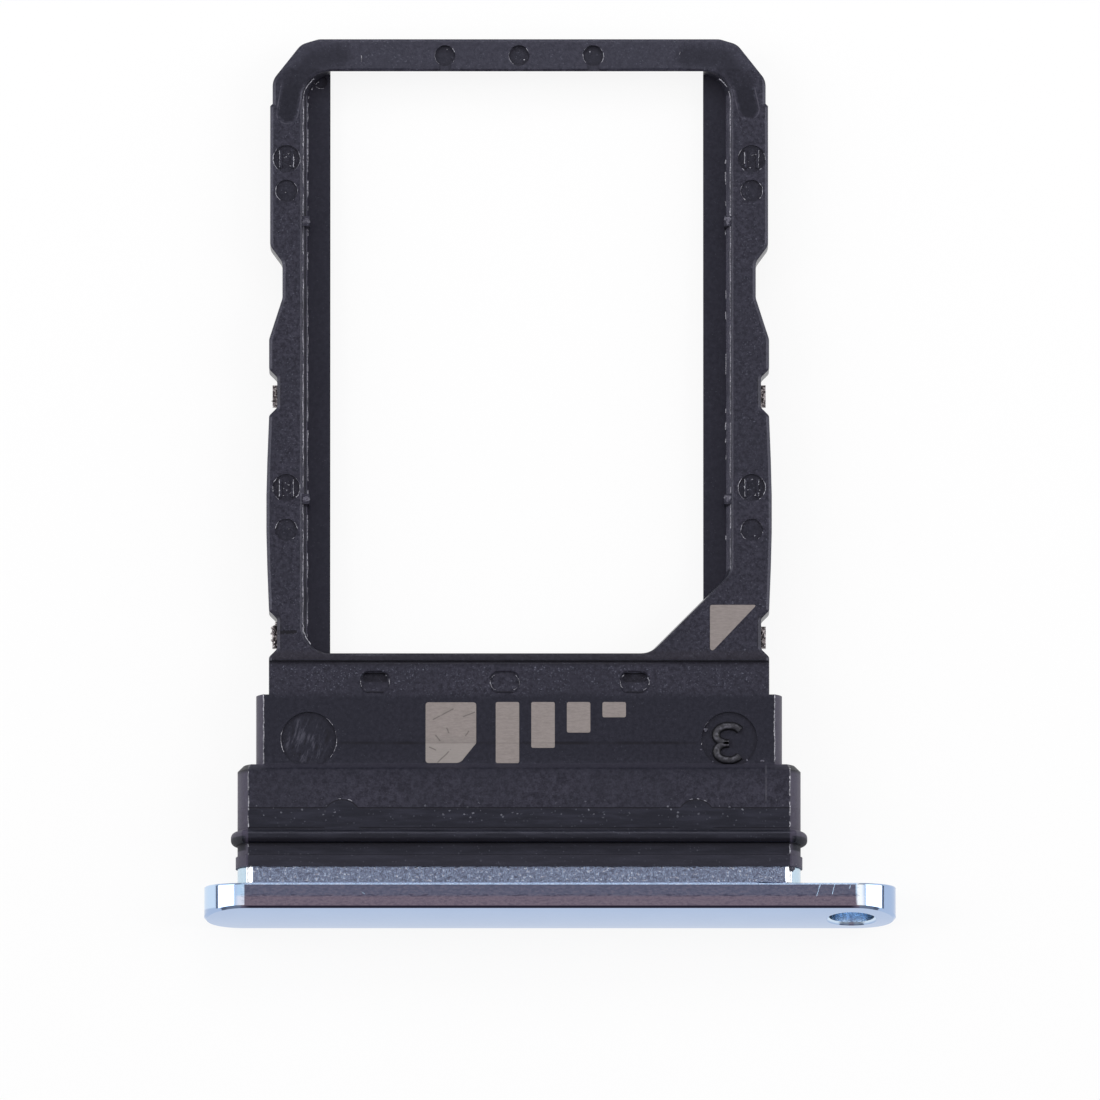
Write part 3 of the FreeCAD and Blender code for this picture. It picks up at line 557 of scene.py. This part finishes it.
def rubber(tree):
    """Black silicone: satin, faintly ringed along its length, with a little lint. Painted shade lies in its
    creases, on the lip's shaded side and over the lip, and a lighter tone is painted on its slanted side
    faces as highlight.
    """
    place = tree.place()
    x, y, _ = tree.split(place)
    y = y - SEAT
    side = (x - CENTRE_LINE).size()
    bloom = tree.noise(tree.stretch(place, 0.35, 2.6, 2.6), 0.30, 4.0, 0.6)
    fine = tree.noise(place, 0.06, 3.0, 0.6)
    mottle = tree.noise(place, 0.09, 4.0, 0.7)
    lint = tree.grains(place, 0.022).rise(0.985, 0.995)
    # Painted shade in the creases, on the lip's shaded side and along the lobes' rims
    crease = 0.0
    for along, reach, depth in SEAL_CREASE_SHADES:
        crease = (depth * y.near(along, 0.3 * reach, reach)).high(crease)
    lobe = from_place(side, y, LOBE_PLACE)
    rim = lobe.near(LOBE_RADIUS - 0.012, 0.006, 0.022) * y.rise(SEAL_END - 0.03, SEAL_END)
    crease = (crease * lobe.rise(LOBE_RADIUS - 0.03, LOBE_RADIUS)).high(0.85 * rim)
    lip_ends = y.near(LIP_PLACE, 0.12, 0.16) * side.rise(ROOT_INNER_EDGE, ROOT_INNER_EDGE + 0.10)
    slanted = facet(side, y) * (1 - lip_ends)
    tint = tree.lay(
        tree.mix(bloom.rise(0.38, 0.72), colour(0.007, 0.008, 0.013), colour(0.018, 0.019, 0.029)),
        (lint * 0.35, colour(0.14, 0.15, 0.19)),
        # Painted shade over the lip
        (y.near(LIP_PLACE, 0.10, 0.20) * 0.45, COOL_SHADOW),
        (y.fall(LIP_PLACE - 0.24, LIP_PLACE - 0.18) * 0.35, colour(0.026, 0.026, 0.036)),
        (dust(tree, place, y), DUST),
        (crease, FOLD_SHADOW),
        # Painted highlight: the slanted side faces are painted a lighter mauve, as they catch the side lamps
        (slanted * (0.2 + 0.8 * mottle), colour(0.068, 0.058, 0.090)),
    )
    height = fine + 0.8 * bloom - 1.5 * crease + 1.2 * mottle * slanted
    rough = 0.28 + 0.16 * fine + 0.20 * slanted + 0.34 * lip_ends
    return {"Base Color": tint, "Roughness": rough, "Normal": tree.bump(height, 0.22, 0.016)}


def sheet_metal(tree):
    """Plain stamped sheet, dark, with a few bright torn spots."""
    torn = tree.noise(tree.place(), 0.07, 3.0, 0.7)
    tint = tree.mix(torn.rise(0.44, 0.62), colour(0.13, 0.115, 0.12), colour(0.66, 0.62, 0.62))
    return {"Base Color": tint, "Roughness": 0.55 - 0.25 * torn, "Normal": tree.bump(torn, 0.5, 0.02)}


def worn_and_lit(dark, light):
    """The same plastic made lighter and uneven from grain to grain, for pieces that are partly burrs and
    faces with wear and partly painted highlights and painted light. A painted shade line runs low along the
    pocket's left wall."""
    def fill(tree):
        place = tree.place()
        x, _, z = tree.split(place)
        bright = tree.noise(place, 0.035, 2.0, 0.6).rise(0.35, 0.65)
        bright = bright * tree.noise(place, 0.45).rise(0.20, 0.60)
        # Painted shade: a dark line low along the pocket's left wall
        line = x.near(POCKET_LINE - WALL_LINE, 0.008, 0.026) * z.fall(RAIL_TOP - 0.14, RAIL_TOP - 0.10)
        tint = tree.lay(tree.mix(bright, dark, light), (line * 0.85, colour(0.004, 0.004, 0.006)))
        return {"Base Color": tint, "Roughness": 0.50 - 0.20 * bright}
    return fill


def numeral(tree):
    """The same plastic on a raised numeral, with a painted highlight along its ridge between dark sides."""
    place = tree.place()
    rubbed_and_lit = 0.25 + 0.75 * tree.noise(place, 0.09, 3.0).rise(0.42, 0.66)
    # Painted highlight: the top of the stroke is painted lighter, patchily
    bright = tree.split(place)[2].rise(BLOCK_TOP, BLOCK_TOP + 0.038) * rubbed_and_lit
    tint = tree.mix(bright, colour(0.004, 0.004, 0.006), colour(0.105, 0.104, 0.125))
    return {"Base Color": tint, "Roughness": 0.50 - 0.20 * bright}


def grey_print(tree):
    """Warm grey marking, a little uneven, with a few fine dark scratches. Where the block's crease crosses
    the card sign, painted light lies on the seat's side of it, and painted shade in it and beyond it."""
    place = tree.place()
    x, y, _ = tree.split(place)
    y = y - SEAT
    drawn = tree.noise(tree.stretch(place, 0.6, 2.4, 1.0), 0.07, 4.0, 0.7)
    wobble = 0.04 * tree.noise(place, 0.15) - 0.02
    scratches = on_lines(x + wobble, y, PRINT_SCRATCHES, 0.004, 0.020)
    scratches = scratches * tree.noise(place, 0.12).rise(0.25, 0.45)
    # Painted shade in the crease and beyond it, and painted light on the seat's side of it
    crease = from_line(x, y, *CREASE).fall(0.0, 0.02)
    card = x.fall(CARD_SIDES[1] + 0.05, CARD_SIDES[1] + 0.15)
    crease_painted_light = card * y.fall(CREASE_PLACE - 0.015, CREASE_PLACE)
    darker = card * y.rise(CREASE_PLACE, CREASE_PLACE + 0.01)
    darker = darker * y.fall(CREASE_PLACE + 0.01, CREASE_PLACE + 0.21)
    tint = tree.lay(
        tree.mix(drawn.rise(0.25, 0.75), colour(0.215, 0.189, 0.180), colour(0.275, 0.243, 0.232)),
        (crease_painted_light * 0.45, colour(0.300, 0.280, 0.265)),
        (darker * 0.25, colour(0.155, 0.145, 0.140)),
        (scratches * 0.7 + crease * 0.25, colour(0.09, 0.08, 0.075)),
    )
    return {"Base Color": tint, "Roughness": 0.45 + 0.25 * drawn, "Normal": tree.bump(drawn, 0.3, 0.01)}


finishes = {
    "anodised": material("anodised", anodised, Metallic=1.0),
    "carrier": material("carrier", carrier, Specular_IOR_Level=0.40, Specular_Tint=COOL),
    "seal": material("seal", rubber, Specular_IOR_Level=0.40, Specular_Tint=COOL),
    "sheet": material("sheet", sheet_metal, Metallic=1.0),
    "print": material("print", grey_print, Specular_IOR_Level=0.3),
}
# Pale finishes for pieces that stand partly for burrs and wear and partly for painted highlights and painted
# light
burr_and_glint_finish = material(
    "burr_and_glint", worn_and_lit(colour(0.070, 0.070, 0.090), colour(0.50, 0.50, 0.56)), Specular_IOR_Level=0.5)
rubbed_and_lit_finish = material(
    "rubbed_and_lit", worn_and_lit(colour(0.030, 0.029, 0.046), colour(0.120, 0.117, 0.155)), Specular_IOR_Level=0.5)
raised_finish = material("raised", numeral, Specular_IOR_Level=0.25)

for entry in frame["record"]["subparts"]:
    mesh = frame["nodes"][entry["node"]].data
    mesh.materials.clear()
    mesh.materials.append(finishes[entry["material_slot"]])


# Ways to make small pieces

def add_piece(name, data, slot, finish=None):
    """Link a piece and let it ride with the tray. It has its slot's finish, unless another is given."""
    piece = bpy.data.objects.new(name, data)
    bpy.context.scene.collection.objects.link(piece)
    data.materials.append(finish or finishes[slot])
    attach(piece, "root")


def add_form(name, form, slot, finish=None):
    """Turn a filled bmesh form into a piece."""
    data = bpy.data.meshes.new(name)
    form.to_mesh(data)
    form.free()
    add_piece(name, data, slot, finish)


def rounded(corners):
    """A closed outline through corners given as x, distance from the seat and radius."""
    circle_steps = 32
    outline = []
    for i, (x, along, radius) in enumerate(corners):
        here = Vector((x, along))
        before = (Vector(corners[i - 1][:2]) - here).normalized()
        after = (Vector(corners[(i + 1) % len(corners)][:2]) - here).normalized()
        half = before.angle(after) / 2
        middle = here + (before + after).normalized() * (radius / math.sin(half))
        start = here + before * (radius / math.tan(half)) - middle
        end = here + after * (radius / math.tan(half)) - middle
        sweep = -start.angle_signed(end)
        steps = max(2, round(circle_steps * abs(sweep) / math.tau))
        for step in range(steps + 1):
            turned = Matrix.Rotation(sweep * step / steps, 2) @ start
            outline.append(middle + turned)
    return outline


def flat_marking(name, outlines, level):
    """Thin closed plates with these outlines, lying on a level surface of the plastic."""
    form = bmesh.new()
    for outline in outlines:
        foot, top = [[form.verts.new(spot(point.x, point.y, z)) for point in outline]
                     for z in (level, level + MARK_HEIGHT)]
        form.faces.new(foot)
        form.faces.new(top)
        for i in range(len(outline)):
            form.faces.new([foot[i - 1], foot[i], top[i], top[i - 1]])
    bmesh.ops.recalc_face_normals(form, faces=form.faces)
    add_form(name, form, "print")


def ragged(name, lumps, seed, slot, finish=None):
    """Small torn lumps, each given as its centre and its three widths."""
    wave, tear = 0.30, 0.12
    chance = random.Random(seed)
    form = bmesh.new()
    for centre, size in lumps:
        made = bmesh.ops.create_icosphere(form, subdivisions=3, radius=1.0)["verts"]
        phase = chance.uniform(0, math.tau)
        for point in made:
            swell = 1 + wave * math.sin(3 * point.co.y + phase) + chance.uniform(-tear, tear)
            point.co = Vector(point.co[i] * swell * size[i] / 2 * MM for i in range(3)) + spot(*centre)
    add_form(name, form, slot, finish)


def round_wire(name, radius, resolution):
    """An empty curve that has a round section of this radius."""
    data = bpy.data.curves.new(name, "CURVE")
    data.dimensions = "3D"
    data.bevel_depth = radius * MM
    data.bevel_resolution = resolution
    data.use_fill_caps = True
    return data


def beads(name, runs, thick, seed, stray):
    """Fine uneven pale beads along lines of points, each given as x, distance from the seat and level: partly
    burrs and partly painted highlights.
    """
    chance = random.Random(seed)
    data = round_wire(name, thick, 1)
    for points in runs:
        shifts = [Vector((chance.uniform(-stray, stray), chance.uniform(-stray, stray), 0)) for _ in points]
        run = data.splines.new("POLY")
        run.points.add(len(points) - 1)
        for point, place, shift in zip(run.points, points, shifts):
            point.co = (*(spot(*place) + shift * MM), 1)
            point.radius = chance.uniform(0.45, 1.25)
    add_piece(name, data, "carrier", burr_and_glint_finish)


def straight(start, end, pitch):
    """Points from one place to another."""
    start, end = Vector(start), Vector(end)
    count = max(2, round((end - start).length / pitch))
    return [tuple(start.lerp(end, i / count)) for i in range(count + 1)]


def arc(x, along, level, radius, first, last, pitch=0.05):
    """Points on an arc round a place, between two angles in degrees from X."""
    count = max(3, round(abs(math.radians(last - first)) * radius / pitch))
    angles = [math.radians(first + (last - first) * i / count) for i in range(count + 1)]
    return [(x + radius * math.cos(a), along + radius * math.sin(a), level) for a in angles]


def broken(points, seed, skip):
    """A line of points cut into pieces, where a chance falls below skip."""
    chance = random.Random(seed)
    runs, run = [], []
    for point in points + [None]:
        if point is None or chance.random() < skip:
            if len(run) > 1:
                runs.append(run)
            run = []
        else:
            run.append(point)
    return runs


# Markings, small pieces, and pale pieces painted as highlights on the plastic

def card_sign():
    """A plain card with one cut corner, as the real card lies in its pocket."""
    left, right = CARD_SIDES
    low, high = 2.568, 3.850
    cut_x, cut_y = 0.336, 0.420
    radius = 0.06
    outline = rounded([
        (left, low, radius), (right - cut_x, low, 3 * radius), (right, low + cut_y, radius / 2),
        (right, high, radius), (left, high, radius),
    ])
    flat_marking("card_sign", [outline], BLOCK_TOP)


def rising_bars():
    """Four plain bars of rising height, upside down as the card sign is."""
    left, right = -1.141, 1.596
    foot, tallest = 3.856, 1.292
    count, gap_share = 4, 0.34
    radius = 0.04
    pitch = (right - left) / (count - gap_share)
    width = pitch * (1 - gap_share)
    outlines = []
    for i in range(count):
        start, height = left + i * pitch, tallest * (count - i) / count
        outlines.append(rounded([
            (start, foot - height, radius), (start + width, foot - height, radius),
            (start + width, foot, radius), (start, foot, radius),
        ]))
    flat_marking("rising_bars", outlines, BLOCK_TOP)


def corner_sign():
    """A plain triangle beside the pocket's cut corner."""
    left, right = 3.365, 4.345
    low, high = 4.885, 5.920
    outline = rounded([(left, low, 0.05), (right, high, 0.02), (left, high, 0.04)])
    flat_marking("corner_sign", [outline], RAIL_TOP)


def cavity_number():
    """A raised numeral 3 in the right disc, upside down as the signs are, with a round section."""
    centre = (3.76, 2.99)
    half_height, widening = 0.36, 1.45
    floor_level, steps = BLOCK_TOP - 0.05, 24
    # Each bowl of the numeral as its middle and radius, and the angles at which it starts and ends
    bowls = [
        (0.5 * half_height, 0.50 * half_height, 150, -90),
        (-0.5 * half_height, 0.52 * half_height, 90, -150),
    ]
    data = round_wire("cavity_number", 0.090, 3)
    for middle, size, first, last in bowls:
        run = data.splines.new("POLY")
        run.points.add(steps)
        for i, point in enumerate(run.points):
            angle = math.radians(first + (last - first) * i / steps)
            x, along = size * widening * math.cos(angle), middle + size * math.sin(angle)
            point.co = (*spot(centre[0] - x, centre[1] - along, floor_level), 1)
    add_piece("cavity_number", data, "carrier", raised_finish)


def lit_wall_faces():
    """Pale faces of the pocket's two side walls, painted as the light that falls on them, each a long wedge
    against its wall.
    """
    top, foot = RAIL_TOP - 0.03, LEDGE_TOP - 0.01
    corners = [(WALL_TOP, top), (WALL_FOOT, foot), (WALL_TOP, foot)]
    form = bmesh.new()
    for side, first, _ in WALLS:
        ends = []
        for along in (first, WALL_END):
            ends.append([form.verts.new(spot(POCKET_LINE + side * x, along, z)) for x, z in corners])
        for i in range(3):
            form.faces.new([ends[0][i], ends[0][i - 1], ends[1][i - 1], ends[1][i]])
        for end in ends:
            form.faces.new(end)
    bmesh.ops.recalc_face_normals(form, faces=form.faces)
    add_form("lit_wall_faces", form, "carrier", rubbed_and_lit_finish)


def wall_path(side, half_width, level, first):
    """Points up one side wall of the pocket, with part of a rounded corner at its far end."""
    last, pitch, radius = 16.6, 0.09, 0.55
    x = POCKET_LINE + side * half_width
    turn = arc(x - side * radius, POCKET_END - 0.60, level, radius, 90 - side * 90, 90 - side * 35)
    return straight((x, first, level), (x, last, level), pitch) + turn


def wall_burr_highlights():
    """The uneven highlight lines painted with pale beads at the top and foot of the pocket's side walls and
    in its near left corner.
    """
    runs = []
    for number, (side, first, skip) in enumerate(WALLS):
        runs += broken(wall_path(side, WALL_TOP - 0.018, RAIL_TOP - 0.09, first), 20 + number, 0.04)
        runs += broken(wall_path(side, WALL_FOOT, LEDGE_TOP + 0.01, first), 30 + number, skip)
    radius = 0.60
    corner = arc(POCKET_LINE - 4.49 + radius, POCKET_START + radius, RAIL_TOP - 0.06, radius, 180, 232)
    runs += broken(corner, 40, 0.05)
    beads("wall_burr_highlights", runs, 0.014, 11, 0.008)


def facet_edge_highlights():
    """The broken highlight line painted with pale beads along the inner edge of each side facet of the seal,
    the root and the block.
    """
    # Each edge as its half width, its two ends and its level
    edges = [
        (ROOT_INNER_EDGE, SEAL_END, BLOCK_START - 0.10, ROOT_TOP),
        (ROOT_INNER_EDGE, 1.20, SEAL_END, ROOT_TOP),
        (ROOT_INNER_EDGE, NECK_LENGTH + 0.02, 0.84, ROOT_TOP),
        (BLOCK_INNER_EDGE, BLOCK_START, CROWN_START, BLOCK_TOP),
    ]
    runs = []
    for number, side in enumerate((-1, 1)):
        for half, first, last, level in edges:
            x = CENTRE_LINE + side * half
            runs += broken(straight((x, first, level), (x, last, level), 0.06), 50 + number + 3 * half, 0.07)
    beads("facet_edge_highlights", runs, 0.013, 15, 0.008)


def rim_burr_highlights():
    """Fine pale beads painted as highlights on the rims of the marks, the discs, the slots, the lobes and the
    dimple, and on the tip's scars.
    """
    rail, block = RAIL_TOP - 0.006, BLOCK_TOP - 0.006
    runs = []
    for number, (across, along, radius) in enumerate(MARKS):
        for side in (-1, 1) if across else (1,):
            middle = CENTRE_LINE + side * across
            runs += broken(arc(middle, along, rail, radius, 135, 235), 60 + 2 * number + side, 0.15)
            runs += broken(arc(middle, along, rail, radius, -55, 45), 80 + 2 * number + side, 0.15)
    for number, (first, last, skip) in enumerate(GATE_ARCS):
        runs += broken(arc(*GATE, block, DISC_RIM, first, last), 100 + number, skip)
    runs += broken(arc(*NUMERAL_DISC, block, DISC_RIM, 140, 190), 103, 0.45)
    for middle in SLOT_PLACES:
        reach, level = SLOT_HALF[0] - SLOT_RADIUS, BLOCK_TOP - 0.008
        for side, first, last in ((-1, 120, 250), (1, -70, 60)):
            rim = arc(middle + side * reach, SLOT_LINE, level, SLOT_RADIUS, first, last, 0.04)
            runs += broken(rim, 104 + middle, 0.18)
    for side in (-1, 1):
        x = CENTRE_LINE + side * LOBE_PLACE[0]
        runs += broken(arc(x, LOBE_PLACE[1], ROOT_TOP, LOBE_RADIUS + 0.01, 60, 135), 105 + side, 0.45)
    runs.append(arc(*DIMPLE, LEDGE_TOP - 0.004, DIMPLE_RADIUS, 170, 300, 0.03))
    for scar in TIP_SCARS:
        runs.append([(x, along, RAIL_TOP) for x, along in scar])
    beads("rim_burr_highlights", runs, 0.008, 12, 0.006)


def mark_glints():
    """Painted highlights on the uneven edges of the bars in the large marks, with loose glints in all the
    marks.
    """
    bar_side, bar_half = 0.146, 0.18
    rim, floor_level = RAIL_TOP - 0.008, RAIL_TOP - 0.055
    chance = random.Random(13)
    runs = []
    for across, along, radius in MARKS:
        large = radius == LARGE_RADIUS
        for side in (-1, 1) if across else (1,):
            x = CENTRE_LINE + side * across
            bars = (x - bar_side, x + bar_side) if large else ()
            for bar in bars:
                run = straight((bar, along - bar_half, rim), (bar, along + bar_half, rim), 0.04)
                runs += broken(run, chance.random(), 0.12)
            for _ in range(7 if large else 1):
                angle, reach = chance.uniform(0, math.tau), radius * chance.uniform(0.1, 0.7)
                here = (x + reach * math.cos(angle), along + reach * math.sin(angle), floor_level)
                runs.append([here, (here[0] + 0.02, here[1] + 0.015, here[2])])
    beads("mark_glints", runs, 0.012, 14, 0.006)


def grips():
    """Pale caps painted as the highlights on the tops of the four grips that hold the card."""
    lumps = []
    for side, half_width in GRIP_SIDES:
        for along in GRIP_PLACES:
            lumps.append(((POCKET_LINE + side * half_width, along, RAIL_TOP - 0.045), (0.13, 0.17, 0.05)))
    ragged("grip_tops", lumps, 7, "carrier", rubbed_and_lit_finish)


def broken_ends():
    """Torn metal at the ends of the four tie bars, each as ragged as its own break."""
    proud, level = -0.01, SHEET_LEVEL + 0.09
    chance = random.Random(16)
    # Each break as its name, side, two ends, number of lumps and their width
    breaks = [
        ("low_left", -1, 5.12, 5.60, 10, 0.09),
        ("low_right", 1, 5.11, 5.54, 8, 0.06),
        ("high_left", -1, 10.24, 10.62, 3, 0.05),
        ("high_right", 1, 10.22, 10.62, 4, 0.05),
    ]
    for name, side, first, last, count, width in breaks:
        lumps = []
        for i in range(count):
            x = CENTRE_LINE + side * (STUB_REACH + proud - chance.uniform(0.0, 0.09))
            along = first + (last - first) * (i + chance.uniform(0.2, 0.8)) / count
            size = [width * chance.uniform(0.6, 1.2), width * chance.uniform(0.8, 1.6), 0.10]
            lumps.append(((x, along, level), size))
        ragged("broken_end_" + name, lumps, count, "sheet")


def moulding_leftovers():
    """Small beads beside the right disc, and torn flakes where the seal meets the neck."""
    # Each bead as its X, place and width
    dots = [
        (4.46, 2.61, 0.07), (3.27, 3.26, 0.07), (3.18, 2.85, 0.04),
        (4.14, 2.63, 0.04), (3.42, 2.60, 0.03),
    ]
    lumps = [((x, along, BLOCK_TOP), (width, width, 0.03)) for x, along, width in dots]
    # The beads and flakes take the pale finish: partly their own lighter material and partly painted
    # highlight
    ragged("mould_bead", lumps, 8, "carrier", rubbed_and_lit_finish)
    flakes = [
        ((-6.30, 0.40, 1.40), (0.16, 0.07, 0.05)),
        ((5.07, 0.38, 1.38), (0.22, 0.12, 0.06)),
        ((5.09, 0.31, 1.37), (0.10, 0.10, 0.05)),
    ]
    ragged("seal_flake", flakes, 9, "seal", rubbed_and_lit_finish)


card_sign()
rising_bars()
corner_sign()
cavity_number()
lit_wall_faces()
wall_burr_highlights()
facet_edge_highlights()
rim_burr_highlights()
mark_glints()
grips()
broken_ends()
moulding_leftovers()


# Floor, light and camera

def floor():
    """A pale floor on which the flange's lower edge and the tip rest. The camera and the reflections see
    most of it as plain white, and the rest keeps the tray's shadow."""
    reach, clearance, white_share = 3.0, 0.003, 0.88
    data = bpy.data.meshes.new("floor")
    corners = [(-reach, -reach), (reach, -reach), (reach, reach), (-reach, reach)]
    data.from_pydata([(x, y, 0) for x, y in corners], [], [(0, 1, 2, 3)])
    stand = bpy.data.objects.new("floor", data)
    stand.location = spot(0, 0, -clearance)
    stand.rotation_euler = (math.atan2(FRAME_BASE, TIP), 0, 0)
    bpy.context.scene.collection.objects.link(stand)
    made = bpy.data.materials.new("floor")
    tree = Tree(made)
    paper = tree.add("ShaderNodeBsdfDiffuse", inputs={"Color": colour(0.9, 0.9, 0.9)})
    glow = tree.add("ShaderNodeEmission", inputs={"Color": colour(1, 1, 1), "Strength": 1.0})
    rays = [tree.add("ShaderNodeLightPath", output="Is %s Ray" % kind)
            for kind in ("Camera", "Glossy", "Transmission")]
    seen = rays[0].high(rays[1]).high(rays[2]) * white_share
    shade = tree.add("ShaderNodeMixShader", inputs={0: seen, 1: paper, 2: glow})
    tree.add("ShaderNodeOutputMaterial", inputs={"Surface": shade})
    data.materials.append(made)


def lamp(name, place, width, height, radiance):
    """A soft box of this radiance, turned to the tray's middle."""
    data = bpy.data.lights.new(name, "AREA")
    data.shape, data.size, data.size_y = "RECTANGLE", width * MM, height * MM
    data.energy = radiance * math.pi * width * height * MM * MM
    box = bpy.data.objects.new(name, data)
    box.location = Vector(place) * MM
    box.rotation_euler = (-box.location).to_track_quat("-Z", "Y").to_euler()
    box.visible_camera = False
    bpy.context.scene.collection.objects.link(box)


def room():
    """A dim room with a darker slot overhead, and on both sides of it a pale band that crosses the room."""
    world = bpy.data.worlds.new("room")
    bpy.context.scene.world = world
    tree = Tree(world)
    x, y, z = tree.split(tree.add("ShaderNodeTexCoord", output="Generated"))
    beside = x.size().rise(0.10, 0.14)
    tint = tree.lay(
        tree.mix(beside, colour(0.24, 0.175, 0.195), colour(0.32, 0.32, 0.34)),
        (beside * y.near(0.11, 0.16, 0.24), colour(1.08, 1.08, 1.08)),
        (z.fall(0.10, 0.14), colour(0.20, 0.20, 0.22)),
    )
    sky = tree.add("ShaderNodeBackground", inputs={"Color": tint, "Strength": 1.0})
    tree.add("ShaderNodeOutputWorld", inputs={"Surface": sky})


def camera():
    """Straight above but for a small tilt towards the faceplate's side."""
    tilt, distance = math.radians(6.5), 1000.0
    view_width = PICTURE_WIDTH / PIXELS_PER_MM
    target = spot(0, PICTURE_MIDDLE, RAIL_TOP)
    data = bpy.data.cameras.new("camera")
    data.angle = 2 * math.atan(view_width / 2 / distance)
    data.clip_start, data.clip_end = 0.005, 10.0
    eye = bpy.data.objects.new("camera", data)
    away = Vector((0, -math.sin(tilt), math.cos(tilt)))
    eye.location = target + away * distance * MM
    eye.rotation_euler = (tilt, 0, 0)
    bpy.context.scene.collection.objects.link(eye)
    bpy.context.scene.camera = eye


floor()
lamp("far_lamp", (0, 45, 50), 40, 24, 3.4)
lamp("left_lamp", (-100, 13, 66), 80, 109, 2.6)
lamp("right_lamp", (100, 13, 66), 80, 109, 2.6)
room()
camera()
bpy.context.scene.view_settings.view_transform = "Standard"
